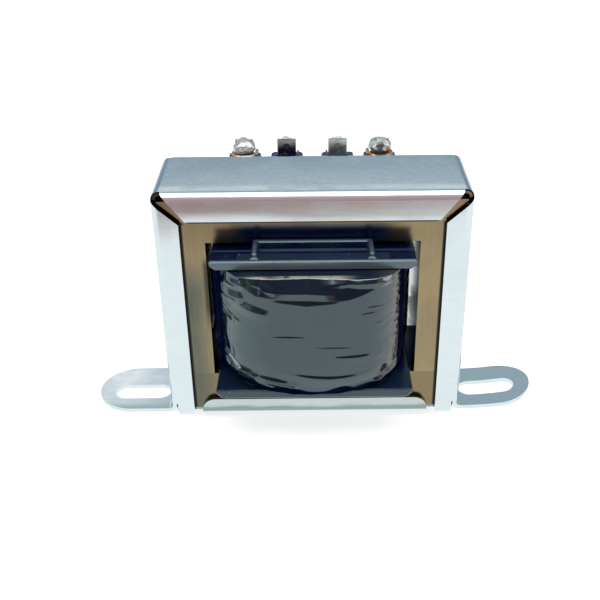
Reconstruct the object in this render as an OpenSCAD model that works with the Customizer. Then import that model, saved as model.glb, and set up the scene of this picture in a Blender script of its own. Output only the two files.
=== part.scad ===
// Speaker line transformer: an interleaved EI core clamped in a folded sheet-steel channel with
// two slotted feet, a base plate with upturned lips, a wound bobbin wrapped in film tape, and
// four soldered terminal lugs. Millimetres, +Z up. The origin lies under the middle of the core
// on the plane of the feet. The plain side of the bobbin faces -Y, the terminals stand at +Y.

/* [Core] */
// Width of the centre leg
leg_w = 13; // [10:0.5:18]
// Width of each outer leg
side_leg_w = 6; // [4.5:0.5:9]
// Height of each yoke
yoke_h = 6; // [5:0.5:9]
// Width of each winding window
window_w = 8; // [7:0.5:12]
// Height of each winding window
window_h = 21; // [17:0.5:30]
// Thickness of one lamination
lam_t = 0.475; // [0.35:0.005:0.6]
// Film of oxide and varnish between laminations
lam_film = 0.025; // [0.015:0.005:0.05]
// Laminations in the stack
lam_count = 26; // [20:1:36]

/* [Frame] */
// Thickness of the frame and base plate sheet
sheet_t = 0.6; // [0.45:0.05:0.9]
// Inside radius of the folds
bend_r = 0.5; // [0.25:0.05:0.5]
// Clearance of the core inside the frame
core_fit = 0.17; // [0.15:0.01:0.3]
// Gap between the core and the top of the frame
top_fit = 0.7; // [0.2:0.05:0.8]
// Depth of the flanges along the top
top_flange = 3.9; // [2.8:0.05:4.5]
// Width of the flanges down the sides
side_flange = 3.5; // [2.8:0.1:4.5]
// Offset of the top flange's end from the side flange's edge
mitre_gap = 0.85; // [0.5:0.05:1.5]
// Offset of the side flange's end below the top flange's edge
mitre_drop = 0.45; // [0.2:0.05:1]
// Slope of the cut at the ends of the top flanges
top_mitre = 52; // [46:1:60]
// Slope of the cut at the ends of the side flanges
side_mitre = 42; // [32:1:44]
// Length of the tabs folded under the base plate
tab_len = 2.6; // [2:0.1:3.5]

/* [Feet] */
// Outside radius of the fold between a side and its foot
foot_bend_r = 0.6; // [0.4:0.1:1]
// Width of each foot, front to back
foot_w = 11; // [9:0.1:12]
// Length of each mounting slot, end to end
slot_len = 8.5; // [6:0.1:10]
// Width of each mounting slot
slot_w = 3.6; // [3:0.1:4.5]
// Metal between the fold and the slot
slot_root = 0.2; // [0.1:0.05:1]
// Metal between the slot and the tip
slot_land = 2.5; // [1.8:0.1:3.5]
// Distance of the slots in front of the middle of the feet
slot_fwd = 1; // [0:0.1:1.4]
// Height of the frame's tabs above the plane of the feet
foot_drop = 0.3; // [0.1:0.05:0.6]
// Angle through which the right foot curls up from its root to its tip
foot_bend = 14; // [4:1:30]
// How much narrower the right foot is at its rear
foot_trim = 1.1; // [0:0.1:2]

/* [Base plate] */
// Height of the lips above the plate's underside
lip_h = 2.5; // [2:0.1:4]
// Gap between a lip and the side flanges
lip_gap = 1.25; // [0.6:0.05:2]
// Corner radius of the lips
lip_r = 2; // [1:0.1:2.2]
// End clearance of the plate between the sides
plate_fit = 0.2; // [0.1:0.05:0.5]

/* [Bobbin] */
// Clearance of the bobbin in the window, top and bottom
bobbin_fit = 0.2; // [0.1:0.05:0.4]
// Clearance of the tube around the centre leg
tube_fit = 0.15; // [0.1:0.05:0.3]
// Wall of the tube
tube_wall = 0.8; // [0.6:0.1:1.2]
// Gap between a flange and the outer legs
flange_gap = 0.85; // [0.6:0.05:1.6]
// Thickness of the flange plates
flange_t = 0.8; // [0.7:0.1:1.3]
// Thickness of the bottom flange at its front and rear bars
bar_t = 1.4; // [1.1:0.1:1.7]
// Height of the rim on the top flange
rib_h = 0.6; // [0.5:0.1:1.2]
// Depth of the rim between the ribs, front to back
rim_d = 2.5; // [1.5:0.1:3]
// Reach of the deep rim beyond each rib
rim_reach = 2.1; // [1:0.1:2.6]
// Height of the ribs and the wire guard above the rim
guard_h = 0.75; // [0.3:0.05:1.2]
// Thickness of the ribs, the wire guard and the rim's ends
rib_t = 0.75; // [0.5:0.05:1]
// Distance between the middles of the two ribs
rib_pitch = 15.4; // [10:0.1:18]
// Overhang of the top flange beyond the core
top_overhang = 5.2; // [4.8:0.1:7.5]
// Overhang of the bottom flange beyond the core
bottom_overhang = 6.8; // [4.8:0.1:7.5]
// Chamfer on the lower corners of the flange bars
bar_chamfer = 0.8; // [0.4:0.1:1]

/* [Terminals] */
// Distance between the two middle lugs
inner_pitch = 7.4; // [6.4:0.1:9]
// Distance from a middle lug to the outer one beside it
outer_pitch = 6.15; // [5.6:0.05:6.6]
// Width of each terminal post
post_w = 4.8; // [4:0.1:5.2]
// Thickness of each terminal post
post_d = 2.8; // [2.2:0.1:3.4]
// Height of the posts above the top flange's rim
post_h = 6.2; // [4:0.1:8]
// Chamfer on the top corners of a post
post_chamfer = 0.3; // [0.2:0.1:1]
// Width of each lug
lug_w = 2.7; // [2.2:0.1:3]
// Thickness of each lug
lug_t = 0.5; // [0.3:0.05:0.8]
// Length of each lug sunk in its post
lug_sunk = 3.6; // [2.5:0.1:4.5]
// Length of each lug above its post
lug_up = 2.4; // [1.8:0.1:3.5]
// Hole in each lug
lug_hole = 1.1; // [0.8:0.1:1.4]
// Clearance of a lug in its post
lug_fit = 0.03; // [0.01:0.01:0.08]
// Radius of the solder domes on the two outer lugs
outer_solder_r = 1.85; // [1.6:0.05:2.1]
// Radius of the solder beads on the two middle lugs
inner_solder_r = 1.15; // [1:0.05:1.3]
// Distance of the middle beads behind their lugs
bead_back = 0.6; // [0.3:0.05:0.8]
// Thickness of the solder over a lug's tip
solder_cover = 0.15; // [0.1:0.05:0.4]

/* [Coil] */
// Build of the primary winding beside the tube
primary_build = 2.4; // [1.6:0.1:2.8]
// Thickness of the insulation between the windings
layer_t = 0.15; // [0.1:0.05:0.3]
// Thickness of the tape wrap
tape_t = 0.45; // [0.3:0.05:0.7]
// Gap between the tape and the edge of the flanges, at the sides
coil_gap = 0.75; // [0.3:0.05:1.2]
// Reach of the coil's bulge beyond the core, front and rear
coil_reach = 8.6; // [7.6:0.1:9.5]
// How far the bulge draws in at its top
coil_draw = 1.9; // [1:0.1:2.5]
// How far the bulge draws in at its foot
low_draw = 1.1; // [0.5:0.1:1.6]
// Strip of winding left bare above the tape
bare_strip = 0.75; // [0.7:0.05:1]
// Clearance between the layers of the coil
layer_fit = 0.03; // [0.02:0.01:0.06]
// Radius of the secondary's lead wires
secondary_wire_r = 0.28; // [0.2:0.02:0.32]
// Radius of the primary's lead wires
primary_wire_r = 0.16; // [0.1:0.02:0.24]

/* [Hidden] */
$fn = 64;

// Cuts run past the faces that they open by this much
over = 1;

// Core
lam_w = leg_w + 2 * window_w + 2 * side_leg_w;
core_h = window_h + 2 * yoke_h;
lam_pitch = lam_t + lam_film;
stack = lam_count * lam_pitch;

// Frame, from the feet up
fold_r = bend_r + sheet_t;
plate_z = foot_drop + sheet_t;
core_z = plate_z + sheet_t;
frame_w = lam_w + 2 * (core_fit + sheet_t);
frame_d = stack + 2 * (core_fit + sheet_t);
frame_z = core_z + core_h + top_fit + sheet_t;
side_x = frame_w / 2;
foot_root = side_x + foot_bend_r;
slot_x = foot_root + slot_root + slot_len / 2;
foot_tip = foot_root + slot_root + slot_len + slot_land;
relief_z = plate_z + fold_r + sheet_t;

// Bobbin
window_z = core_z + yoke_h;
bobbin_z = window_z + bobbin_fit;
rim_z = window_z + window_h - bobbin_fit;
top_plate_z = rim_z - rib_h - flange_t;
tube_x = leg_w / 2 + tube_fit + tube_wall;
tube_y = stack / 2 + tube_fit + tube_wall;
flange_x = leg_w / 2 + window_w - flange_gap;
top_y = stack / 2 + top_overhang;
bottom_y = stack / 2 + bottom_overhang;
wind_z0 = bobbin_z + bar_t;
wind_z1 = top_plate_z;

// Terminals, from left to right
inner_x = inner_pitch / 2;
outer_x = inner_x + outer_pitch;
lug_x = [-outer_x, -inner_x, inner_x, outer_x];
lug_y = top_y - post_d / 2;
post_z = rim_z + post_h;
wire_r = [secondary_wire_r, primary_wire_r, primary_wire_r, secondary_wire_r];
solder_r = [outer_solder_r, inner_solder_r, inner_solder_r, outer_solder_r];
// Gap between a lead, a lug or the wire guard and what it lies against
seat_gap = 0.05;
// Share of a lug's distance from the middle at which its lead leaves the coil
lead_spread = 0.6;
// Radius of the bend where a lead turns up behind the top flange
lead_bend = 0.6;
// How far the outer and the middle leads turn around their lugs, and the steps, in degrees
outer_turn = 270;
inner_turn = 60;
lead_turn = [outer_turn, inner_turn, inner_turn, outer_turn];
lead_step = 30;

// Coil, as half widths and half depths at the fullest height
fullest_share = 0.42;
coil_z = wind_z0 + fullest_share * (wind_z1 - wind_z0);
coil_power = 3;
// The bulge rounds off evenly below its fullest height and late and steeply above it
low_power = 2;
draw_power = 6;
// The windings build up this much more in front and behind than beside the tube
bulge = 1.4;
coil_sides = 64;
coil_levels = 6;
tape_levels = 14;
tape_x = flange_x - coil_gap;
tape_y = stack / 2 + coil_reach;
secondary_x = tape_x - tape_t;
secondary_y = tape_y - tape_t;
primary_x = tube_x + layer_fit + primary_build;
primary_y = tube_y + layer_fit + bulge * primary_build;
layer_x = primary_x + layer_fit + layer_t;
layer_y = primary_y + layer_fit + layer_t;
tape_z0 = wind_z0 + layer_fit;
tape_z1 = wind_z1 - bare_strip;

// Slack ripples round the tape: how many, how far they slant and their depth
ripples = 2.5;
ripple_slant = 120;
ripple_depth = 0.12 * tape_t;
// Hollows in the tape, each with its place and reach as shares of the half width and the height
// and with its depth in thicknesses of tape
front_hollows = [
    [0.1, 0.9, 0.5, 0.14, 0.55],
    [-0.75, 0.72, 0.18, 0.1, 0.45],
    [-0.8, 0.12, 0.22, 0.12, 0.5],
];
rear_hollows = [
    [-0.3, 0.85, 0.5, 0.15, 0.5],
    [0.6, 0.2, 0.3, 0.12, 0.4],
];

// Sheet metal

// A w by h block that hangs below y = 0 with its two upper corners rounded
module bent_block(w, h, r) {
    translate([-w / 2, -h]) square([w, h - r]);
    translate([-w / 2 + r, -r]) square([w - 2 * r, r]);
    for (side = [-1, 1]) translate([side * (w / 2 - r), -r]) circle(r);
}

// Section of a folded channel: a web along y = 0 and two flanges that hang from it
module channel_section(flange, inside_r) {
    difference() {
        bent_block(frame_d, flange, inside_r + sheet_t);
        translate([0, -sheet_t]) bent_block(frame_d - 2 * sheet_t, flange + over, inside_r);
    }
}

// A quarter of a fold about the origin, in the quarter where x and y are positive
module fold_section(inside_r) {
    intersection() {
        difference() {
            circle(inside_r + sheet_t);
            circle(inside_r);
        }
        square(inside_r + sheet_t + over);
    }
}

// Extrudes an outline drawn in X and Z along Y, centred on the core
module along_y(depth) {
    translate([0, depth / 2, 0]) rotate([90, 0, 0]) linear_extrude(depth) children();
}

// Extrudes an outline drawn in Y and Z along X
module along_x(length) {
    translate([-length / 2, 0, 0]) rotate([90, 0, 90]) linear_extrude(length) children();
}

// Open corner between a top flange and the left side flange, drawn in X and Z
module mitre_notch() {
    top_in = [-side_x + side_flange + mitre_gap, frame_z - top_flange];
    side_in = [-side_x + side_flange, frame_z - top_flange - mitre_drop];
    top_rise = top_flange + over;
    side_run = side_flange + over;
    polygon([
        top_in,
        [top_in.x - top_rise / tan(top_mitre), frame_z + over],
        [-side_x - over, frame_z + over],
        [-side_x - over, side_in.y + side_run * tan(side_mitre)],
        side_in,
    ]);
}

// Outline of a foot and its slot on the left, seen from above, with its rear edge trimmed
module foot_plan(root, reach, trim) {
    tip_r = (foot_w - trim) / 2;
    difference() {
        translate([0, -trim / 2]) {
            translate([-reach + tip_r, -tip_r]) square([reach - tip_r - root, 2 * tip_r]);
            translate([-reach + tip_r, 0]) circle(tip_r);
        }
        slot_plan();
    }
}

module slot_plan() {
    flat = slot_len - slot_w;
    translate([-slot_x, -slot_fwd]) {
        square([flat, slot_w], center = true);
        for (side = [-1, 1]) translate([side * flat / 2, 0]) circle(slot_w / 2);
    }
}

// The left side of the frame below its relief cuts: the web, the fold to the foot and the tabs
module side_foot_root(trim) {
    fold_z = sheet_t + foot_bend_r;
    translate([0, -trim / 2, 0]) along_y(foot_w - trim) {
        translate([-side_x, fold_z]) square([sheet_t, relief_z - fold_z]);
        translate([-foot_root, fold_z]) mirror([0, 1]) fold_section(foot_bend_r);
    }
    tab_x0 = side_x - side_flange;
    tab_x1 = side_x - fold_r;
    for (face = [0, 1]) mirror([0, face, 0])
        translate([-(tab_x0 + tab_x1) / 2, 0, 0]) along_x(tab_x1 - tab_x0) tab_section();
}

// Section of a front tab: it runs down from the flange and under the base plate
module tab_section() {
    face_y = -frame_d / 2;
    translate([face_y, foot_drop + fold_r]) square([sheet_t, relief_z - foot_drop - fold_r]);
    translate([face_y + fold_r, foot_drop + fold_r]) rotate(180) fold_section(bend_r);
    translate([face_y + fold_r, foot_drop]) square([tab_len - fold_r, sheet_t]);
}

// The left side of the frame above its relief cuts, with its flanges and top corner
module side_channel() {
    translate([-side_x, 0, relief_z]) rotate([0, 0, 90])
        linear_extrude(frame_z - fold_r - relief_z) channel_section(side_flange, bend_r);
    along_y(frame_d - 2 * fold_r)
        translate([-side_x + fold_r, frame_z - fold_r]) mirror([1, 0]) fold_section(bend_r);
}

module flat_foot() {
    linear_extrude(sheet_t) foot_plan(foot_root, foot_tip, 0);
}

// The right foot, drawn on the left: it curls up in one arc along its whole length
module bent_foot() {
    curl_r = (foot_tip - foot_root) / (foot_bend * PI / 180);
    reach = foot_root + curl_r * sin(foot_bend);
    intersection() {
        along_y(foot_w) translate([-foot_root, curl_r]) difference() {
            intersection() {
                circle(curl_r);
                translate([-curl_r, -curl_r]) square(curl_r);
            }
            circle(curl_r - sheet_t);
        }
        linear_extrude(foot_tip) foot_plan(side_x, reach, foot_trim);
    }
}

module channel_frame() {
    color("#c4ced3") {
        difference() {
            union() {
                along_x(frame_w - 2 * fold_r)
                    translate([0, frame_z]) channel_section(top_flange, bend_r);
                for (side = [0, 1]) mirror([side, 0, 0]) side_channel();
            }
            for (side = [0, 1], face = [0, 1]) mirror([side, 0, 0]) mirror([0, face, 0])
                translate([0, -frame_d / 2 + fold_r, 0]) rotate([90, 0, 0])
                    linear_extrude(fold_r + over) mitre_notch();
        }
        side_foot_root(0);
        flat_foot();
        mirror([1, 0, 0]) {
            side_foot_root(foot_trim);
            bent_foot();
        }
    }
}

module base_plate() {
    plate_l = frame_w - 2 * (sheet_t + plate_fit);
    plate_w = frame_d - 2 * fold_r;
    lip_w = frame_w - 2 * (side_flange + lip_gap);
    corner_r = min(lip_r, lip_h - sheet_t);
    color("#d3dad6") translate([0, 0, plate_z]) {
        translate([-plate_l / 2, -plate_w / 2, 0]) cube([plate_l, plate_w, sheet_t]);
        intersection() {
            along_x(lip_w) mirror([0, 1]) channel_section(lip_h, core_fit);
            along_y(frame_d + over) translate([0, lip_h]) bent_block(lip_w, lip_h, corner_r);
        }
    }
}

// Core

// One E lamination with its yoke at the top, drawn in X and Z from the foot of its legs
module e_outline() {
    difference() {
        translate([-lam_w / 2, 0]) square([lam_w, window_h + yoke_h]);
        for (x = [-leg_w / 2 - window_w, leg_w / 2])
            translate([x, -over]) square([window_w, window_h + over]);
    }
}

module i_outline() {
    translate([-lam_w / 2, 0]) square([lam_w, yoke_h]);
}

// Sets an outline at the place of one lamination, counted from the front
module at_layer(layer) {
    translate([0, -stack / 2 + (layer + 0.5) * lam_pitch, core_z]) along_y(lam_t) children();
}

// The layers alternate: even ones have the E's yoke at the top, odd ones have it at the bottom
module e_laminations() {
    color("#8f7b60") for (layer = [0 : lam_count - 1]) at_layer(layer)
        if (layer % 2 == 0) translate([0, yoke_h]) e_outline();
        else translate([0, window_h + yoke_h]) mirror([0, 1]) e_outline();
}

module i_laminations() {
    color("#99846a") for (layer = [0 : lam_count - 1]) at_layer(layer)
        translate([0, layer % 2 == 0 ? 0 : window_h + yoke_h]) i_outline();
}

// Bobbin

module box_at(x, y, z, size) {
    translate([x - size.x / 2, y - size.y / 2, z]) cube(size);
}

// Front or rear bar of a flange, drawn in X and Z, with its lower corners cut off
module bar_outline(height) {
    cut = min(bar_chamfer, height);
    polygon([
        [-flange_x, height], [flange_x, height], [flange_x, cut],
        [flange_x - cut, 0], [-flange_x + cut, 0], [-flange_x, cut],
    ]);
}

// A flange plate with a bar along its front and rear edges
module bobbin_flange(half_y, z, plate_t, bar_h) {
    box_at(0, 0, z + bar_h - plate_t, [2 * flange_x, 2 * (half_y - rib_t), plate_t]);
    for (face = [-1, 1])
        translate([0, face * (half_y - rib_t / 2), z]) along_y(rib_t) bar_outline(bar_h);
}

// Raised parts on the front of the top flange: the rim, two ribs and the wire guard by the core
module front_rim() {
    guard_y = -stack / 2 - seat_gap - rib_t / 2;
    rib_l = top_y - rib_t + guard_y;
    full_h = rib_h + guard_h;
    translate([0, 0, rim_z - rib_h]) {
        box_at(0, -top_y + rib_t / 2, 0, [2 * flange_x, rib_t, rib_h]);
        box_at(0, -top_y + rim_d / 2, 0, [rib_pitch + rib_t + 2 * rim_reach, rim_d, rib_h]);
        box_at(0, guard_y, 0, [rib_pitch + rib_t, rib_t, full_h]);
        for (side = [-1, 1])
            box_at(side * rib_pitch / 2, guard_y - rib_l / 2, 0, [rib_t, rib_l, full_h]);
    }
}

// A terminal post with chamfered top corners and a slot for its lug
module terminal_post(x) {
    foot_z = rim_z - rib_h;
    height = post_z - foot_z;
    slot = lug_sunk + lug_fit;
    translate([x, lug_y, foot_z]) difference() {
        along_y(post_d) polygon([
            [-post_w / 2, 0], [post_w / 2, 0], [post_w / 2, height - post_chamfer],
            [post_w / 2 - post_chamfer, height], [-post_w / 2 + post_chamfer, height],
            [-post_w / 2, height - post_chamfer],
        ]);
        box_at(0, 0, height - slot, [lug_w + 2 * lug_fit, lug_t + 2 * lug_fit, slot + over]);
    }
}

module bobbin() {
    bore = [leg_w + 2 * tube_fit, stack + 2 * tube_fit, window_h + 2 * over];
    color("#20242c") {
        difference() {
            union() {
                box_at(0, 0, bobbin_z, [2 * tube_x, 2 * tube_y, rim_z - rib_h - bobbin_z]);
                bobbin_flange(bottom_y, bobbin_z, flange_t, bar_t);
                bobbin_flange(top_y, top_plate_z, flange_t, flange_t);
            }
            box_at(0, 0, bobbin_z - over, bore);
        }
        front_rim();
        for (x = lug_x) terminal_post(x);
    }
}

// Coil

function signed_pow(v, p) = sign(v) * pow(abs(v), p);

// Points around a bulged coil, from +X towards +Y
function coil_ring(half_x, half_y, z) = [
    for (i = [0 : coil_sides - 1]) let (
        turn = 360 * i / coil_sides,
        x = half_x * signed_pow(cos(turn), 2 / coil_power),
        y = half_y * signed_pow(sin(turn), 2 / coil_power)
    ) [x, y, z]
];

// Points around the square tube, one for each point of a coil ring
function tube_ring(half_x, half_y, z) = [
    for (i = [0 : coil_sides - 1]) let (
        turn = 360 * i / coil_sides,
        reach = max(abs(cos(turn)), abs(sin(turn)))
    ) [half_x * cos(turn) / reach, half_y * sin(turn) / reach, z]
];

// Half depth of a coil layer at a height: full at coil_z and drawn in above and below it
function barrel(half_y, z) = let (
        share = (half_y - tube_y) / (tape_y - tube_y),
        above = max(z - coil_z, 0) / (wind_z1 - coil_z),
        below = max(coil_z - z, 0) / (coil_z - wind_z0)
    ) half_y - share * (coil_draw * pow(above, draw_power) + low_draw * pow(below, low_power));

function levels(z0, z1, count) = [for (i = [0 : count]) z0 + (z1 - z0) * i / count];

// Heights of a coil's rings: all its layers share them, so that the gaps between layers are even
tape_rings = levels(tape_z0, tape_z1, coil_levels);
wire_rings = concat(tape_rings, [wind_z1 - layer_fit]);

// Rings of a layer's surface at some heights, grown outwards by a clearance
function layer_rings(half_x, half_y, heights, grow) = [
    for (z = heights) coil_ring(half_x + grow, barrel(half_y, z) + grow, z)
];

function flat_list(rings) = [for (ring = rings) each ring];

// Quads between two rings of a stack, wound to face outwards
function band(lower, upper, flip) = [
    for (i = [0 : coil_sides - 1]) let (next = (i + 1) % coil_sides)
        flip ? [lower + i, lower + next, upper + next, upper + i]
             : [lower + i, upper + i, upper + next, lower + next]
];

// A sleeve between an outer and an inner stack of rings, both listed from the bottom up
module sleeve(outer, inner) {
    outer_top = (len(outer) - 1) * coil_sides;
    inner_low = len(outer) * coil_sides;
    inner_top = inner_low + (len(inner) - 1) * coil_sides;
    outer_wall = [
        for (low = [0 : coil_sides : outer_top - 1]) each band(low, low + coil_sides, false)
    ];
    inner_wall = [
        for (low = [inner_low : coil_sides : inner_top - 1]) each band(low, low + coil_sides, true)
    ];
    polyhedron(
        points = concat(flat_list(outer), flat_list(inner)),
        faces = concat(outer_wall, inner_wall, band(outer_top, inner_top, false), band(0, inner_low, true))
    );
}

module primary_winding() {
    color("#a85f2c") sleeve(
        layer_rings(primary_x, primary_y, wire_rings, 0),
        [for (z = [tape_z0, wind_z1 - layer_fit]) tube_ring(tube_x + layer_fit, tube_y + layer_fit, z)]
    );
}

module layer_insulation() {
    color("#cdbf93") sleeve(
        layer_rings(layer_x, layer_y, wire_rings, 0),
        layer_rings(primary_x, primary_y, wire_rings, layer_fit)
    );
}

module secondary_winding() {
    color("#b87333") sleeve(
        layer_rings(secondary_x, secondary_y, wire_rings, 0),
        layer_rings(layer_x, layer_y, wire_rings, layer_fit)
    );
}

// A soft hollow at a place on the tape, as a share of its thickness
function hollow(x, h, dent) =
    -dent[4] * exp(-pow((x - dent[0]) / dent[2], 2) - pow((h - dent[1]) / dent[3], 2));

// Sum of a list of numbers
function total(values) = values * [for (v = values) 1];

// Ripples and hollows of the tape at a point of its surface, as a shift outwards
function tape_folds(p) = let (
        x = p.x / tape_x,
        h = (p.z - tape_z0) / (tape_z1 - tape_z0),
        dents = p.y < 0 ? front_hollows : rear_hollows
    ) ripple_depth * sin(360 * ripples * h + ripple_slant * x)
        + tape_t * total([for (dent = dents) hollow(x, h, dent)]);

function tape_point(p) =
    let (grow = 1 + tape_folds(p) / norm([p.x, p.y])) [p.x * grow, p.y * grow, p.z];

module tape_wrap() {
    color("#2a3036") sleeve(
        [for (z = levels(tape_z0, tape_z1, tape_levels))
            [for (p = coil_ring(tape_x, barrel(tape_y, z), z)) tape_point(p)]],
        layer_rings(secondary_x, secondary_y, tape_rings, layer_fit)
    );
}

// Terminals

module terminal_lug(i) {
    hole_z = lug_sunk + lug_up - lug_hole;
    color("#9aa09f") translate([lug_x[i], lug_y, post_z - lug_sunk]) difference() {
        box_at(0, 0, 0, [lug_w, lug_t, lug_sunk + lug_up]);
        translate([0, 0, hole_z]) rotate([90, 0, 0])
            cylinder(d = lug_hole, h = lug_t + over, center = true);
    }
}

function unit(v) = v / norm(v);

function tangent(path, i) = unit(path[min(i + 1, len(path) - 1)] - path[max(i - 1, 0)]);

// Normals carried along a path so that a tube swept on it doesn't twist
function normals(path, normal, i = 0) = i == len(path) ? [] : let (
        t = tangent(path, i),
        n = unit(normal - (normal * t) * t)
    ) concat([n], normals(path, n, i + 1));

// A round tube swept along a path
module tube(path, radius) {
    sides = 8;
    last = len(path) - 1;
    start_normals = normals(path, [1, 0, 0]);
    points = [
        for (i = [0 : last]) let (n = start_normals[i], b = cross(tangent(path, i), n))
            for (k = [0 : sides - 1]) let (turn = 360 * k / sides)
                path[i] + radius * (cos(turn) * n + sin(turn) * b)
    ];
    walls = [
        for (low = [0 : sides : (last - 1) * sides], k = [0 : sides - 1]) let (next = (k + 1) % sides)
            [low + k, low + sides + k, low + sides + next, low + next]
    ];
    near_end = [for (k = [0 : sides - 1]) k];
    far_end = [for (k = [sides - 1 : -1 : 0]) last * sides + k];
    polyhedron(points, concat([near_end], walls, [far_end]));
}

// A lead leaves the bare strip above the tape, climbs behind its post and loops round its lug
module lead_wire(i) {
    r = wire_r[i];
    way = sign(lug_x[i]);
    start_x = lead_spread * lug_x[i];
    strip_z = wind_z1 - bare_strip / 2;
    coil_y = barrel(secondary_y, strip_z - r) + 2 * layer_fit;
    near_x = (abs(start_x) - r) / secondary_x;
    start_y = coil_y * pow(1 - pow(near_x, coil_power), 1 / coil_power);
    post_y = top_y + seat_gap + r;
    rear_y = max(start_y, post_y) + lead_bend;
    loop_r = (lug_w / 2 + seat_gap + r) / cos(lead_step / 2);
    loop_z = post_z + seat_gap + r;
    loop_x = lug_x[i] - way * loop_r;
    bend = [
        for (turn = [lead_step : lead_step : 90])
            [start_x, rear_y - lead_bend * (1 - sin(turn)), strip_z + lead_bend * (1 - cos(turn))]
    ];
    climb = [
        [(start_x + loop_x) / 2, (rear_y + post_y) / 2, (strip_z + post_z) / 2],
        [loop_x, post_y, post_z - lead_bend],
        [loop_x, post_y, loop_z],
    ];
    loop = [
        for (turn = [0 : lead_step : lead_turn[i]])
            [lug_x[i] - way * loop_r * cos(turn), lug_y - loop_r * sin(turn), loop_z]
    ];
    color("#c8793a") tube(concat([[start_x, start_y, strip_z]], bend, climb, loop), r);
}

// Solder over the tip of a lug, sitting on the loop of its lead. The outer joints are full domes,
// and the middle ones are beads on the rear of the lug that leave its front clear.
module solder_joint(i) {
    r = solder_r[i];
    is_dome = i == 0 || i == 3;
    shift = is_dome ? 0 : bead_back;
    clear = is_dome ? lug_t : 2 * r;
    tip_z = post_z + lug_up + solder_cover;
    base_z = post_z + 2 * (seat_gap + wire_r[i]);
    color("#c9cfcd") difference() {
        intersection() {
            translate([lug_x[i], lug_y + shift, tip_z - r]) sphere(r);
            box_at(lug_x[i], lug_y + shift, base_z, [2 * r + over, 2 * r + over, 2 * r]);
        }
        box_at(lug_x[i], lug_y + (lug_t - clear) / 2, post_z, [lug_w, clear, lug_up]);
    }
}

channel_frame();
base_plate();
e_laminations();
i_laminations();
bobbin();
primary_winding();
layer_insulation();
secondary_winding();
tape_wrap();
terminal_lug(0);  // terminal_lug_1
terminal_lug(1);  // terminal_lug_2
terminal_lug(2);  // terminal_lug_3
terminal_lug(3);  // terminal_lug_4
lead_wire(0);  // lead_wire_1
lead_wire(1);  // lead_wire_2
lead_wire(2);  // lead_wire_3
lead_wire(3);  // lead_wire_4
solder_joint(0);  // solder_joint_1
solder_joint(1);  // solder_joint_2
solder_joint(2);  // solder_joint_3
solder_joint(3);  // solder_joint_4
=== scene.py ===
import math

import bmesh
import bpy
import numpy as np
from mathutils import Matrix, Vector, noise


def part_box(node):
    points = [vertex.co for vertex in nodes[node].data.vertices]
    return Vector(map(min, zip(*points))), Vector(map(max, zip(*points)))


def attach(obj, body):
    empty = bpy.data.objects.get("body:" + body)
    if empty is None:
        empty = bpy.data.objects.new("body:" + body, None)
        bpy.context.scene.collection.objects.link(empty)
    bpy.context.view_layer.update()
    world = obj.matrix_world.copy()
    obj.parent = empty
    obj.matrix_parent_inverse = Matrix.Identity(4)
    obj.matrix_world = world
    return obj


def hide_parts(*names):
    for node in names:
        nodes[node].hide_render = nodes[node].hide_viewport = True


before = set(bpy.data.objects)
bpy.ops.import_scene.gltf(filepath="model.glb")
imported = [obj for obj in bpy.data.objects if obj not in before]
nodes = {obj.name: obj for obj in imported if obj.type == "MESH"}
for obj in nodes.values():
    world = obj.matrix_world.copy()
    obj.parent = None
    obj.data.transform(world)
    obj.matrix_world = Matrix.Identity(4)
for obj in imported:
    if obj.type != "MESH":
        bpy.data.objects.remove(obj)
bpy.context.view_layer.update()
mm = 0.001
body = "root"
waveTurn = 0.314  # a wave node's scale for bands that are 1 mm apart
print("frame loaded with", len(nodes), "nodes")


class Sock:  # an output socket that Python's operators work on
    def __init__(self, maker, socket):
        self.maker = maker
        self.socket = socket

    def out(self, key):
        return Sock(self.maker, self.socket.node.outputs[key])

    def maths(self, operation, first, second):
        return self.maker.node("ShaderNodeMath", {"operation": operation}, {0: first, 1: second})

    def atLeast(self, least):
        return self.maths("MAXIMUM", self, least)

    def __abs__(self):
        return self.maths("ABSOLUTE", self, 0.0)

    def __add__(self, other):
        return self.maths("ADD", self, other)

    def __radd__(self, other):
        return self.maths("ADD", other, self)

    def __sub__(self, other):
        return self.maths("SUBTRACT", self, other)

    def __rsub__(self, other):
        return self.maths("SUBTRACT", other, self)

    def __mul__(self, other):
        return self.maths("MULTIPLY", self, other)

    def __rmul__(self, other):
        return self.maths("MULTIPLY", other, self)


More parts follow.
